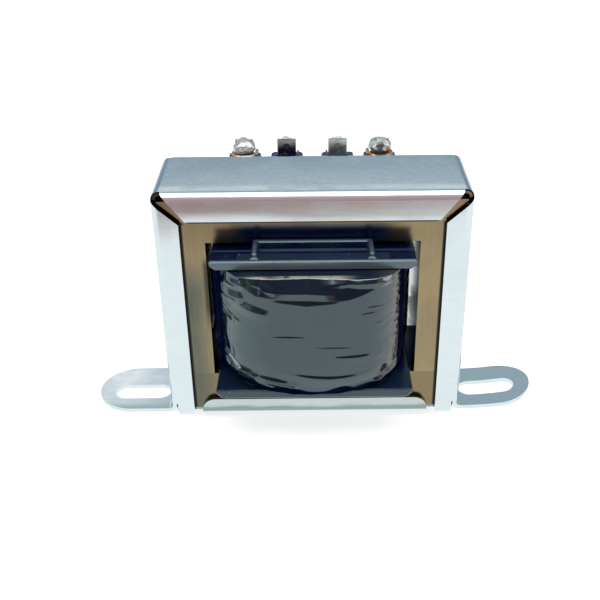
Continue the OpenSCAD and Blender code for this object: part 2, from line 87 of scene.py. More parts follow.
class Shades:  # a node tree that is being drawn
    def __init__(self, owner):
        owner.use_nodes = True
        self.owner = owner
        self.tree = owner.node_tree
        self.tree.nodes.clear()

    def node(self, kind, settings=None, sockets=None, out=0):
        made = self.tree.nodes.new(kind)
        for name, value in (settings or {}).items():
            if name == "stops":
                self.setStops(made.color_ramp, value)
            else:
                setattr(made, name, value)
        for key, value in (sockets or {}).items():
            if isinstance(value, Sock):
                self.tree.links.new(value.socket, made.inputs[key])
            else:
                made.inputs[key].default_value = value
        return Sock(self, made.outputs[out] if made.outputs else None)

    def setStops(self, ramp, stops):
        while len(ramp.elements) < len(stops):
            ramp.elements.new(0.5)
        for element, (place, colour) in zip(ramp.elements, stops):
            element.position = place
            element.color = colour

    def millimetres(self, stretch=(1, 1, 1), shift=(0, 0, 0)):
        where = self.node("ShaderNodeTexCoord").out("Object")
        scale = tuple(1 / (mm * s) for s in stretch)
        sockets = {"Vector": where, "Scale": scale, "Location": shift}
        return self.node("ShaderNodeMapping", None, sockets)

    def facing(self):  # which way the surface looks, as x, y and z
        return self.split(self.node("ShaderNodeNewGeometry").out("Normal"))

    def grain(self, at, size, detail=2.0, roughness=0.5):
        sockets = {"Vector": at, "Scale": 1 / size, "Detail": detail, "Roughness": roughness}
        return self.node("ShaderNodeTexNoise", None, sockets)

    def bands(self, at, direction, pitch):
        sockets = {"Vector": at, "Scale": waveTurn / pitch}
        return self.node("ShaderNodeTexWave", {"bands_direction": direction}, sockets)

    def step(self, value, low, high, start=0.0, end=1.0):
        settings = {"interpolation_type": "SMOOTHSTEP"}
        limits = {"From Min": low, "From Max": high, "To Min": start, "To Max": end}
        return self.node("ShaderNodeMapRange", settings, {"Value": value, **limits})

    def sides(self, across, left, right):  # one value left of the middle and another right of it
        return self.step(across, -1, 1, left, right)

    def where(self, edges, places):  # 1 where every place is inside its soft edges
        masks = [self.step(places[key], *edge) for key in edges for edge in edges[key]]
        return math.prod(masks[1:], start=masks[0])

    def near(self, at, centre, edge):
        settings = {"operation": "DISTANCE"}
        away = self.node("ShaderNodeVectorMath", settings, {0: at, 1: centre}, "Value")
        return self.step(away, *edge)

    def split(self, vector):
        parts = self.node("ShaderNodeSeparateXYZ", None, {0: vector})
        return parts, parts.out("Y"), parts.out("Z")

    def blend(self, share, first, second):
        sockets = {0: share, 6: first, 7: second}
        return self.node("ShaderNodeMix", {"data_type": "RGBA"}, sockets, 2)

    def bump(self, height, depth, strength=1.0, normal=None):
        sockets = {"Height": height, "Distance": depth, "Strength": strength}
        if normal:
            sockets["Normal"] = normal
        return self.node("ShaderNodeBump", None, sockets)

    def principled(self, sockets):
        return self.node("ShaderNodeBsdfPrincipled", None, sockets)

    def mixed(self, share, first, second):
        return self.node("ShaderNodeMixShader", None, {0: share, 1: first, 2: second})

    def surface(self, shader):
        self.node("ShaderNodeOutputMaterial", None, {"Surface": shader})
        return self.owner


def newShades(name):
    return Shades(bpy.data.materials.new(name))


def addObject(name, data):
    obj = bpy.data.objects.new(name, data)
    bpy.context.scene.collection.objects.link(obj)
    return obj


def dress(obj, material):
    obj.data.materials.clear()
    obj.data.materials.append(material)


def newPiece(name, mesh, material):
    mesh.shade_smooth()
    piece = addObject(name, mesh)
    dress(piece, material)
    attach(piece, body)
    return piece


def weld(obj):
    joined = obj.modifiers.new("weld", "WELD")
    joined.merge_threshold = 0.001 * mm


# In the dictionaries, a name that ends in At says where something is, by its soft edges: each goes
# from the place where there is none of it to the place where there is all of it, in mm, or from one
# share of it to another where it has four numbers. Across is x, deep is y and up is z, and aside
# and far are across and deep without their signs. Facing, level and inward are how far the surface
# looks up, to the front or rear, and to the middle, from 0 to 1.

# Zinc plated sheet: satin, with a fine spangle, a rolled grain, dull clouds and a few scuffs
zinc = {
    "dull": (0.68, 0.75, 0.79, 1),
    "roughness": (0.10, 0.16),
    "cloud": 7.0,                      # sizes in mm
    "grain": 0.35,
    "spangle": 0.6,
    "scuff": 0.5,
    "grainStretch": (9, 1.4, 1.4),
    "scuffStretch": (1.0, 1.0, 14),
    "cloudy": (0.4, 0.68),
    "scuffed": (0.66, 0.72),
    "wear": {"least": 0.1, "cloud": 0.2, "scuff": 0.15, "grain": 0.6},
    "speckle": (0.3, 2.0),             # of the spangle everywhere, and more of it on the top face
    "topAt": {"facing": [(0.6, 0.9)], "up": [(20, 30)]},
    "grainRough": 0.05,
    "grainDepth": 0.004 * mm,
}
frameLook = {
    "clean": (0.80, 0.86, 0.88, 1),
    "paintedSheen": (0.46, 0.34, 0.36, 1),   # painted mauve reflection on the lower half of the long bends, less metallic
    "cut": (0.03, 0.03, 0.032, 1),     # painted shade on sheared edges, a ring at corner bend ends brown painted inside that ring
    "stained": (0.33, 0.25, 0.15, 1),  # inside that ring
    "leftShade": 0.8,                  # how dark the left end is inside
    "flangeFoot": 31.9,                # lower edge of the top flange, its half width there and the
    "flangeEnds": (17.9, 17.6),        # slope of its mitred ends
    "flangeMitre": 0.78,
    "flangeTop": 35.8,
    "spring": 0.018,                   # slope of the top flange, which has sprung open a little
    "curl": 0.013,                     # how sharply its lower edge turns back in, and how far below
    "curlFrom": (2.3, 3.15),           # the top that starts, from left to right
    "curlAcross": (-10, 1),
    "crown": (-4.0, 0.007),            # depth from which the top face curves down, and how much
    "relief": 1 * mm,
    "bendAt": {"up": [(34.5, 34.9)], "facing": [(0.95, 0.8)]},
    "bendRough": 0.2,
    "paintedSheenAt": {"facing": [(0.66, 0.5), (0.0, 0.06)], "level": [(0.4, 0.6)], "up": [(34.4, 34.6)]},
    "sheenMetalDrop": 0.8,
    "mitreAt": {"inward": [(0.5, 0.6)], "facing": [(0.5, 0.6)], "up": [(30, 31)]},
    "sideEdgeAt": {"inward": [(0.8, 0.9)], "aside": [(18.2, 18.0)], "up": [(2.5, 3)]},
    "foldEndAt": {"level": [(0.8, 0.9)], "far": [(6.5, 6.3), (5.9, 6.1)], "up": [(31, 32)]},
    "foldCentre": (20.17, 34.7),       # middle of the corner bends, and the square of their radius
    "foldRing": (0.62, 0.8),
}
plateLook = {
    "clean": (0.56, 0.63, 0.60, 1),
    "darkerLow": (0.28, 0.36, 0.35, 1),
    "shift": (31, 7, 13),              # so that its clouds differ from the frame's
    "patch": 1.2,
    "patchStretch": (6, 1, 1),
    "ragged": 1.6,
    "darkerUp": (2.5, 1.8),             # heights in mm over which the lip darkens towards the bottom
    "darkerShare": 0.9,
    "darkerRough": 0.1,
}


def zincBase(s, clean, shift):
    at = s.millimetres(shift=shift)
    cloud = s.step(s.grain(at, zinc["cloud"], detail=4, roughness=0.6), *zinc["cloudy"])
    spangle = s.grain(at, zinc["spangle"])
    along = s.millimetres(zinc["grainStretch"], shift)
    rolled = s.grain(along, zinc["grain"], detail=3, roughness=0.6)
    scratch = s.grain(s.millimetres(zinc["scuffStretch"], shift), zinc["scuff"])
    scuff = s.step(scratch, *zinc["scuffed"])
    places = {"facing": s.facing()[2], "up": s.split(s.millimetres())[2]}
    least, more = zinc["speckle"]
    speckle = s.where(zinc["topAt"], places) * more + least
    share = zinc["wear"]
    wear = cloud * share["cloud"] + scuff * share["scuff"] + share["least"]
    wear = wear + (rolled - 0.5) * share["grain"] + (spangle - 0.5) * speckle
    low, high = zinc["roughness"]
    rough = low + (high - low) * cloud + rolled * zinc["grainRough"]
    normal = s.bump(rolled, zinc["grainDepth"], strength=0.5)
    return s.blend(wear, clean, zinc["dull"]), rough, normal


def flangeRelief(s, across, deep, up):
    look = frameLook
    slant = abs(across) - (up - look["flangeFoot"]) * look["flangeMitre"]
    fallen = look["flangeTop"] - up
    turned = (fallen - s.step(across, *look["curlAcross"], *look["curlFrom"])).atLeast(0.0)
    opened = fallen * look["spring"] - turned * turned * look["curl"]
    start, drop = look["crown"]
    ahead = (start - deep).atLeast(0.0)
    return s.step(slant, *look["flangeEnds"]) * opened - ahead * ahead * drop


def frameZinc():
    look = frameLook
    s = newShades("frameZinc")
    colour, rough, normal = zincBase(s, look["clean"], (0, 0, 0))
    across, deep, up = s.split(s.millimetres())
    sideways, forward, facing = s.facing()
    aside = abs(across)
    places = {
        "aside": aside, "far": abs(deep), "up": up, "facing": facing, "level": abs(forward),
        "inward": s.sides(across, 1, -1) * sideways,
    }
    # painted reflection: mauve on the lower half of the long bends, which lose most of their metal
    paintedSheen = s.where(look["paintedSheenAt"], places)
    # painted shade, near black, on the sheared edges and on the ends of the corner bends
    ends = s.where(look["foldEndAt"], places)
    edges = s.where(look["mitreAt"], places) + s.where(look["sideEdgeAt"], places)
    foldX, foldZ = look["foldCentre"]
    ring = (aside - foldX) * (aside - foldX) + (up - foldZ) * (up - foldZ)
    ring = s.step(ring, *look["foldRing"])
    ring = ring + s.sides(across, look["leftShade"], 0) * (1 - ring)
    colour = s.blend(paintedSheen, colour, look["paintedSheen"])
    colour = s.blend(ends, colour, look["stained"])
    return s.surface(s.principled({
        "Base Color": s.blend(edges + ends * ring, colour, look["cut"]),
        "Metallic": 1 - paintedSheen * look["sheenMetalDrop"],
        "Roughness": rough + s.where(look["bendAt"], places) * look["bendRough"],
        "Normal": s.bump(flangeRelief(s, across, deep, up), look["relief"], normal=normal),
    }))


def plateZinc():
    look = plateLook
    s = newShades("plateZinc")
    colour, rough, normal = zincBase(s, look["clean"], look["shift"])
    patchy = s.grain(s.millimetres(look["patchStretch"]), look["patch"], detail=3)
    ragged = s.split(s.millimetres())[2] + (patchy - 0.5) * look["ragged"]
    # darker and rougher towards the bottom of the lip
    darkening = s.step(ragged, *look["darkerUp"])
    return s.surface(s.principled({
        "Base Color": s.blend(darkening * look["darkerShare"], colour, look["darkerLow"]),
        "Metallic": 1.0,
        "Roughness": rough + darkening * look["darkerRough"],
        "Normal": normal,
    }))


dress(nodes["channel_frame"], frameZinc())
dress(nodes["base_plate"], plateZinc())
print("zinc sheet done")


# Core plates: bare silicon steel under a thin brown oxide, greyer on the left leg. Shade is
# painted along the frame's flanges, and a reflection of the bobbin on the face above it.
core = {
    "brown": (0.41, 0.30, 0.165, 1),
    "gold": (0.30, 0.22, 0.12, 1),
    "grey": (0.125, 0.14, 0.115, 1),
    "olive": (0.10, 0.105, 0.05, 1),
    "paintedReflection": (0.02, 0.045, 0.16, 1),
    "shaded": (0.035, 0.03, 0.03, 1),
    "sheared": (0.85, 0.87, 0.87, 1),   # edges in the right window, the gaps between the plates there; painted shade: left-window edges, and low in both
    "gap": (0.10, 0.10, 0.10, 1),       # there, and the edges in the left window and low in both
    "paintedEdgeShade": (0.03, 0.035, 0.06, 1),
    "pitch": 0.5,                       # of the plates, in mm
    "gapWave": (0.25, 0.05),
    "lowSlope": 0.46,
    "lowUp": (12.9, 11.9),
    "roughness": 0.19,
    "patch": 9.0,
    "patchy": (0.42, 0.66),
    "patchRough": 0.04,
    "streak": 0.6,
    "streakStretch": (0.5, 3, 8),
    "streakRough": 0.06,
    "streakDepth": 0.003 * mm,
    "greyShares": {"streak": 0.25, "patch": 0.15, "pale": 0.7},
    "paleAt": {"across": [(-13, -17)], "up": [(27, 21)]},
    "flatFace": (0.3, 0.7),
    "mitreFoot": (31.11, 17.65),   # height and half width at the foot of the side flanges' mitre, its slope, and how wide the painted shade is left and right
    "mitreSlope": 1.11,            # its slope, and how wide the dirt is on the left and the right
    "mitreShade": (0.45, -0.1),
    # painted shade: along the mitre and the side flanges, under the top flange, by the left window
    "cornerAt": {"beside": [(0.35, 0.0)], "up": [(31.0, 31.4)]},
    "seamAt": {"aside": [(17.3, 17.55)], "up": [(31.6, 31.3)]},
    "flangeFoot": 31.56,
    "flangeSlope": 0.78,
    "underAt": {"up": [(31.25, 31.45)], "slant": [(16.9, 16.6)]},
    "rimAt": {"across": [(-15.3, -14.7), (-13.5, -14)], "up": [(14, 19), (26.5, 25)]},
    "softShade": 0.8,
    # painted reflection of the bobbin on the face above it: olive at the edge, navy inside
    "oliveAt": {"up": [(31.8, 30.9), (26.5, 28.0)], "aside": [(12.6, 9.2)]},
    "oliveShare": 0.6,
    "paintedReflectionAt": {"up": [(31.4, 30.4), (26.5, 28.0)], "aside": [(11.6, 8.5)]},
    "paintedReflectionShare": 0.9,
}


def coreSteel(name, main, shift):
    s = newShades(name)
    patch = s.step(s.grain(s.millimetres(shift=shift), core["patch"], detail=3), *core["patchy"])
    streak = s.grain(s.millimetres(core["streakStretch"], shift), core["streak"], detail=3)
    across, deep, up = s.split(s.millimetres())
    aside = abs(across)
    footUp, footHalf = core["mitreFoot"]
    beside = (up - footUp) * core["mitreSlope"] + footHalf - aside
    places = {
        "across": across, "aside": aside, "up": up,
        "beside": beside - s.sides(across, *core["mitreShade"]),
        "slant": aside - (up - core["flangeFoot"]) * core["flangeSlope"],
    }
    share = core["greyShares"]
    worn = streak * share["streak"] + patch * share["patch"]
    stain = s.blend(worn + s.where(core["paleAt"], places) * share["pale"], main, core["grey"])
    # painted reflection of the bobbin on the face above it, olive at its edge and navy inside
    olive = s.where(core["oliveAt"], places) * core["oliveShare"]
    stain = s.blend(olive, stain, core["olive"])
    paintedReflection = s.where(core["paintedReflectionAt"], places) * core["paintedReflectionShare"]
    stain = s.blend(paintedReflection, stain, core["paintedReflection"])
    # painted shade along the mitre and the side flanges, under the top flange, by the left window
    paintedShade = s.where(core["cornerAt"], places) + s.where(core["seamAt"], places)
    soft = s.where(core["underAt"], places) + s.where(core["rimAt"], places)
    stain = s.blend(paintedShade + soft * core["softShade"], stain, core["shaded"])
    gap = s.step(s.bands(s.millimetres(), "Y", core["pitch"]), *core["gapWave"])
    cut = s.blend(gap, core["sheared"], core["gap"])
    # painted shade on the cut edges in the left window and low in both
    low = s.step(up + deep * core["lowSlope"], *core["lowUp"])
    cut = s.blend(s.sides(across, 1, 0) * (1 - low) + low, cut, core["paintedEdgeShade"])
    rough = core["roughness"] + patch * core["patchRough"]
    return s.surface(s.principled({
        "Base Color": s.blend(s.step(abs(s.facing()[1]), *core["flatFace"]), cut, stain),
        "Metallic": 1.0,
        "Roughness": rough + (streak - 0.5) * core["streakRough"],
        "Normal": s.bump(streak, core["streakDepth"], strength=0.4),
    }))


dress(nodes["e_laminations"], coreSteel("yokeSteel", core["brown"], (3, 5, 8)))
dress(nodes["i_laminations"], coreSteel("keeperSteel", core["gold"], (17, 2, 4)))
print("core plates done")


# Bobbin: moulded plastic, nearly black with a navy cast, a little dusty, with a grey sheen
# painted on its fronts and on the top of its wire guard
bobbinLook = {
    "navy": (0.001, 0.004, 0.036, 1),
    "worn": (0.003, 0.012, 0.034, 1),
    "slate": (0.014, 0.028, 0.042, 1),
    "paintedSheen": (0.115, 0.145, 0.155, 1),
    "dust": (0.40, 0.42, 0.42, 1),
    "tint": (0.72, 0.92, 1.0, 1),
    "ior": 1.5,
    "cloud": 4.0,
    "cloudy": (0.4, 0.7),
    "speck": 0.3,
    "dusty": (0.78, 0.81),
    "pebble": 0.18,
    "pebbleDepth": 0.004 * mm,
    "barAt": {"deep": [(-11.59, -11.65)], "up": [(18, 20)]},     # fronts of the two flanges
    "footAt": {"deep": [(-13.19, -13.25)]},
    "ribAt": {"up": [(28.92, 29.0)], "deep": [(-4, -6)]},        # top of the wire guard
    "stepAt": {"up": [(28.2, 28.26)], "deep": [(-7, -9)]},
    "ledgeAt": {"up": [(9.3, 9.2)], "deep": [(-7, -9)]},
    "pocketAt": {                                                # inner corner of the pocket, dull
        "deep": [(-7.75, -7.6), (-7.0, -7.2)], "up": [(28.0, 27.9), (27, 27.4)],
    },
    "sheenShares": {"bar": 0.8, "foot": 0.12, "rib": 0.15},
    "slateShares": {"step": 0.8, "ledge": 0.5},
    "roughness": 0.16,
    "roughShares": {"cloud": 0.08, "dust": 0.4, "pocket": 0.6, "rib": 0.35},
    "edge": 0.2 * mm,
    "edgeAngle": 40,
    "flatAngle": 1,
}


def bobbinPlastic():
    look = bobbinLook
    s = newShades("bobbinPlastic")
    at = s.millimetres()
    cloud = s.step(s.grain(at, look["cloud"], detail=3), *look["cloudy"])
    speck = s.step(s.grain(at, look["speck"], detail=1), *look["dusty"])
    deep, up = s.split(at)[1:]
    parts = ("bar", "foot", "rib", "step", "ledge", "pocket")
    masks = {part: s.where(look[part + "At"], {"deep": deep, "up": up}) for part in parts}
    masks.update(cloud=cloud, dust=speck)

    def total(shares):
        weighed = [masks[part] * share for part, share in shares.items()]
        return sum(weighed[1:], weighed[0])

    plain = s.blend(cloud, look["navy"], look["worn"])
    plain = s.blend(total(look["slateShares"]), plain, look["slate"])
    # painted sheen: the fronts of the flanges and the top of the wire guard are lighter grey
    plain = s.blend(total(look["sheenShares"]), plain, look["paintedSheen"])
    return s.surface(s.principled({
        "Base Color": s.blend(speck, plain, look["dust"]),
        "Roughness": look["roughness"] + total(look["roughShares"]),
        "IOR": look["ior"],
        "Specular IOR Level": 1.0,
        "Specular Tint": look["tint"],
        "Normal": s.bump(s.grain(at, look["pebble"]), look["pebbleDepth"], strength=0.1),
    }))


def cutEdges(obj, look):
    weld(obj)
    plain = obj.modifiers.new("plain", "DECIMATE")
    plain.decimate_type = "DISSOLVE"
    plain.angle_limit = math.radians(look["flatAngle"])
    bevel = obj.modifiers.new("cutEdges", "BEVEL")
    bevel.width = look["edge"]
    bevel.segments = 1
    bevel.use_clamp_overlap = False
    bevel.limit_method = "ANGLE"
    bevel.angle_limit = math.radians(look["edgeAngle"])
    obj.data.shade_flat()


dress(nodes["bobbin"], bobbinPlastic())
cutEdges(nodes["bobbin"], bobbinLook)
print("bobbin done")


# Copper: enamelled turns in the windings, and the bare-ended leads
copper = {
    "bright": (0.72, 0.33, 0.13, 1),
    "dark": (0.42, 0.17, 0.07, 1),
    "stain": 1.6,
    "stained": (0.4, 0.66),
    "metallic": 0.85,
    "roughness": 0.22,
    "stainRough": 0.15,
    "coat": 0.6,
    "coatRough": 0.1,
    "turn": 0.45,                # pitch of the turns, and how deep the grooves between them are
    "turnDepth": 0.1 * mm,
    "leadSmooth": 2,
    "hiddenUp": (34.0, 34.3),    # height in mm above which the joints hide the leads, and the range in x of this on each lead, with its colour
    "hiddenSoft": 0.1,           # range in x of this on each lead, with its colour
    "hidden": {
        1: (-10.8, -7.0, (0.42, 0.41, 0.36, 1)),
        2: (-8.0, 0.0, (0.03, 0.03, 0.04, 1)),
        3: (0.0, 8.0, (0.03, 0.03, 0.04, 1)),
        4: (9.0, 10.8, (0.06, 0.05, 0.05, 1)),
    },
}
insulation = {
    "amber": (0.62, 0.53, 0.36, 1),
    "clear": (0.75, 0.68, 0.52, 1),
    "crinkle": 0.8,
    "crinkleStretch": (3, 3, 1),
    "crinkleDepth": 0.05 * mm,
    "roughness": 0.3,
}


def enamelledCopper(name, turn=None, hidden=None):
    s = newShades(name)
    at = s.millimetres()
    stain = s.step(s.grain(at, copper["stain"], detail=3), *copper["stained"])
    colour = s.blend(stain, copper["bright"], copper["dark"])
    if hidden:
        least, most, cover = hidden
        soft = copper["hiddenSoft"]
        ends = [(least - soft, least + soft), (most + soft, most - soft)]
        places = dict(zip(("across", "deep", "up"), s.split(at)))
        covered = s.where({"across": ends, "up": [copper["hiddenUp"]]}, places)
        colour = s.blend(covered, colour, cover)
    sockets = {
        "Base Color": colour,
        "Metallic": copper["metallic"],
        "Roughness": copper["roughness"] + stain * copper["stainRough"],
        "Coat Weight": copper["coat"],
        "Coat Roughness": copper["coatRough"],
    }
    if turn:
        sockets["Normal"] = s.bump(s.bands(at, "Z", turn), copper["turnDepth"])
    return s.surface(s.principled(sockets))


def polyesterFilm():
    look = insulation
    s = newShades("polyesterFilm")
    crinkle = s.grain(s.millimetres(look["crinkleStretch"]), look["crinkle"], detail=3)
    return s.surface(s.principled({
        "Base Color": s.blend(crinkle, look["amber"], look["clear"]),
        "Roughness": look["roughness"],
        "Normal": s.bump(crinkle, look["crinkleDepth"], strength=0.6),
    }))


def smoothTube(obj):
    weld(obj)
    rounder = obj.modifiers.new("rounder", "SUBSURF")
    rounder.levels = rounder.render_levels = copper["leadSmooth"]
    obj.data.shade_smooth()


for nodeName in ("primary_winding", "secondary_winding"):
    dress(nodes[nodeName], enamelledCopper(nodeName + "Copper", copper["turn"]))
dress(nodes["layer_insulation"], polyesterFilm())
for i in range(1, 5):
    lead = nodes[f"lead_wire_{i}"]
    dress(lead, enamelledCopper(f"leadCopper{i}", hidden=copper["hidden"][i]))
    smoothTube(lead)
print("windings and leads done")


# Film tape round the coil: a bulged sleeve that is pulled in at its ends and puckered
tape = {
    "frontColumns": 400,
    "rearColumns": 160,
    "rows": 150,
    "innerRows": 8,
    "ringSteps": 8000,
    "thickness": 0.35 * mm,
    "power": 3.5,              # of the rounded rectangle that the coil is in plan, and how much
    "rounder": 0.9,            # less it is at the foot
    "fullest": 0.42,           # share of the height at which it is fullest
    "lowDraw": 1.1 * mm,       # how far it is drawn in at its foot
    "topStrip": 0.7 * mm,      # film above the solid's top, before it tucks in under the flange
    "tuckRows": 10,
    "tuckRise": 0.05 * mm,
    # the rest of the shape is in mm
    "tuckReach": 3.0,
    "lean": 0.42,              # slope of the film above the slack line, and how much steeper it is
    "leanSoft": 0.12,          # from some way above that line
    "steeper": 0.1,
    "steepFrom": 1.4,
    "steepSoft": 0.3,
    "flatSides": 4.0,          # the folds fade out this near to the middle of the sides
    "foldFade": 0.55,          # a power: how full the folds are towards their ends
    "rearShift": (1.4, 0.5),   # by which the back is puckered in other places than the front
    "rippled": (8.5, 3.0),     # x from which the right edge ripples, and over how much it sets in
    "footReach": 1.4,          # puckers at the lower edge, and at the upper one with their share
    "topReach": 0.7,
    "topShare": 0.6,
    "puckers": {               # height, stretch, size and seed
        "right": (0.12, (0.25, 0.25, 1.5), 1.0, 11),
        "fine": (0.03, (0.35, 0.35, 1), 1.5, 3),
        "broad": (0.08, (1, 1, 1), 5.0, 7),
        "ends": (0.16, (1, 1, 0.5), 1.6, 19),
        "sag": (0.2, (1, 1, 1), 2.2, 23),
    },
    "waist": (3.0, 2.5),       # how far from the foot and the top the sides bulge, the x from which
    "bulgedFrom": (8.0, 4.0),  # they do and over how much that sets in. Then for each bulge: its
    "bulges": [                # side, its push in x, its middle and spread in y, and a power
        (-1, -1.4, 0, 9, 4), (1, 0.95, 3, 6.5, 4), (1, -0.2, -9, 3, 2),
    ],
    "sag": 0.28,               # of the loose lower edge over the front of the bobbin
    "sagReach": 1.0,
    "sagDeep": (13.2, 0.9),
    # finish
    "slate": (0.003, 0.006, 0.020, 1),
    "smoke": (0.005, 0.009, 0.020, 1),
    "teal": (0.010, 0.024, 0.024, 1),    # its left half
    "warm": (0.050, 0.036, 0.034, 1),    # its right edge
    "clear": (0.27, 0.25, 0.205, 1),     # worn strip under the flange
    "flank": (0.001, 0.003, 0.020, 1),   # painted shade on its corners and its ragged foot
    "tint": (0.80, 0.97, 1.0, 1),
    "ior": 1.6,
    "roughness": 0.05,
    "cloud": 6.0,
    "cloudy": (0.38, 0.7),
    "cloudRough": 0.05,
    "smokeShare": 0.8,
    "drag": 0.8,
    "dragStretch": (8, 8, 0.7),
    "dragDepth": 0.02 * mm,
    "tealAt": {"across": [(-4, -9)], "cloud": [(0.1, 0.7)]},
    "warmAt": {"across": [(7, 11.5)]},
    "ragged": (1.2, 0.3),                # size and height of the rags of the worn strip
    "rimAt": {
        "ragged": [(26.8, 26.86)], "across": [(-9.4, -7.0), (6.4, 3.0)],
        "deep": [(-13.05, -13.35)], "worn": [(0.2, 0.6)],
    },
    "rimWear": 0.9,
    "rimStretch": (4, 1, 1),
    "rimRough": 0.3,
    "cornerAside": (12.1, 11.25),        # x where the dark corners begin on the left and the right
    "cornerAt": {"outside": [(0.0, 0.3)], "far": [(5.5, 9.0, 0.5, 1.0)]},
    "cornerWave": (1.1, 0.7),            # size and height, as for the foot's edge below
    "cornerStretch": (1, 1, 0.7),
    "cornerRough": 0.6,
    "cornerSmoke": 0.6,
    "cornerDepth": 0.06 * mm,
    "footUp": (9.8, 9.65),
    "footBow": 0.012,
    "footWave": (3.0, 2.2),
    "footStretch": (1, 1, 4),
}
# The slack line across the front, as x and z in mm: above it the film leans back
slackLine = [
    (-12.9, 27.0), (-9.7, 26.7), (-8.9, 25.6), (-7.4, 24.8), (-4.8, 24.1), (-1, 23.5),
    (2.9, 23.9), (6.4, 24.9), (8.7, 25.7), (10.2, 26.6), (12.9, 27.0),
]
# Folds: both ends of the crest as x and z in mm, and in mm too how far it rises below the crest,
# how high it is, how far it falls behind the crest and how far the crest bows up
tapeFolds = [
    ((-7.2, 25.4), (4.4, 25.0), 1.1, 0.47, 2.1, 0),        # the light pane in the slack part
    ((0.8, 26.0), (6.6, 26.5), 0.6, 0.34, 1.0, 0),
    ((4.8, 26.4), (10.5, 26.3), 0.8, 0.5, 1.5, 0),
    ((-9.2, 26.4), (-5.0, 25.2), 0.5, 0.2, 0.7, 0.2),
    ((-10.4, 23.1), (-5.8, 21.9), 1.4, 0.33, 0.8, 0),      # slash
    ((-12.5, 23.5), (-9.0, 24.0), 0.8, 0.42, 0.9, 0),      # left diamonds
    ((-11.6, 25.7), (-8.8, 25.8), 0.7, 0.32, 0.7, 0),
    ((-12.7, 22.6), (-11.2, 21.4), 0.5, 0.3, 0.6, 0),
    ((-12.5, 21.4), (-9.6, 20.0), 1.0, 0.2, 0.35, 0),
    ((-6.2, 18.6), (-0.2, 18.5), 1.5, 0.078, 0.26, 0.1),   # fine drag lines
    ((-0.6, 17.0), (6.4, 16.9), 1.5, 0.075, 0.25, 0),
    ((2.2, 15.4), (8.0, 15.5), 1.5, 0.2, 0.38, 0),
    ((8.0, 15.3), (9.4, 15.4), 0.8, 0.1, 0.25, 0),
    ((6.0, 21.9), (9.6, 22.1), 1.0, 0.08, 0.24, 0),
    ((7.4, 20.2), (9.7, 20.4), 1.0, 0.08, 0.24, 0),
    ((6.5, 22.9), (10.2, 22.6), 0.8, 0.08, 0.26, 0),
    ((8.2, 19.2), (10.3, 19.3), 0.8, 0.08, 0.26, 0),
    ((8.6, 16.8), (10.6, 16.9), 0.8, 0.08, 0.26, 0),
    ((-5.0, 13.2), (8.2, 12.8), 1.8, 0.27, 0.5, -1.1),     # lower lens
    ((-12.9, 14.9), (-9.9, 12.5), 0.9, 0.3, 0.2, 0),       # bright lines of the lower left corner
    ((-12.8, 14.7), (-11.6, 11.4), 0.5, 0.28, 0.2, 0),
    ((-11.8, 11.4), (-9.8, 12.6), 0.5, 0.28, 0.2, 0),
    ((-11.4, 12.6), (-7.4, 11.9), 0.5, 0.5, 0.9, 0),       # dark folds along the lower edge
    ((-8.9, 12.0), (-1.9, 10.5), 0.5, 0.42, 0.6, 0.2),
    ((-8.2, 10.8), (-1.0, 9.5), 0.4, 0.34, 0.45, 0),
    ((3.0, 9.5), (9.5, 10.9), 0.5, 0.42, 0.6, 0),
    ((8.0, 10.4), (12.6, 12.6), 0.5, 0.45, 0.7, 0),
]


def ringPoints(halfX, halfY, power):
    turn = np.linspace(0, 2 * math.pi, tape["ringSteps"], endpoint=False)
    share = 2 / power
    x = halfX * np.sign(np.cos(turn)) * np.abs(np.cos(turn)) ** share
    y = halfY * np.sign(np.sin(turn)) * np.abs(np.sin(turn)) ** share
    steps = np.hypot(np.diff(x, append=x[0]), np.diff(y, append=y[0]))
    along = np.concatenate([[0], np.cumsum(steps)])
    half = along[len(x) // 2]
    rear = np.linspace(0, half, tape["rearColumns"], endpoint=False)
    front = np.linspace(half, along[-1], tape["frontColumns"], endpoint=False)
    places = np.concatenate([rear, front])
    return [np.interp(places, along, np.append(v, v[0])) for v in (x, y)]


def plainSleeve():  # rows of points from the foot up, and how far each row tucks in at the top
    low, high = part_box("tape_wrap")
    shoulder = high.z + tape["topStrip"]
    halfX, halfY = (high.x - low.x) / 2, (high.y - low.y) / 2
    fullZ = low.z + tape["fullest"] * (high.z - low.z)
    turns = np.linspace(0, math.pi / 2, tape["tuckRows"] + 1)[1:]
    heights = np.concatenate([
        np.linspace(low.z, shoulder, tape["rows"]), shoulder + tape["tuckRise"] * np.sin(turns),
    ])
    tucks = np.concatenate([np.zeros(tape["rows"]), tape["tuckReach"] * (1 - np.cos(turns))])
    rows = []
    for z in heights:
        below = max(fullZ - z, 0) / (fullZ - low.z)
        power = tape["power"] - tape["rounder"] * below ** 3
        x, y = ringPoints(halfX, halfY - tape["lowDraw"] * below ** 2, power)
        rows.append(np.stack([x, y, np.full_like(x, z)], 1))
    return np.array(rows), tucks


def foldHeights(x, z):
    total = np.zeros_like(x)
    for start, end, rise, height, fall, bow in tapeFolds:
        run = np.subtract(end, start)
        length = math.hypot(*run)
        along = ((x - start[0]) * run[0] + (z - start[1]) * run[1]) / length ** 2
        behind = ((z - start[1]) * run[0] - (x - start[0]) * run[1]) / length
        arch = np.sin(math.pi * np.clip(along, 0, 1))
        behind -= bow * arch
        crest = np.clip(np.minimum(1 + behind / rise, 1 - behind / fall), 0, 1)
        total += height * arch ** tape["foldFade"] * crest
    return total


def pucker(name, points):
    height, stretch, size, seed = tape["puckers"][name]
    shift = Vector((seed, 0, 0))
    return height * np.array([noise.noise(Vector(p) / size + shift) for p in points * stretch])


def softly(value, width):  # value above zero, and near zero below it
    return 0.5 * (value + np.sqrt(value * value + width * width))


def bell(value, width, power=2):
    return np.exp(-(value / width) ** power)


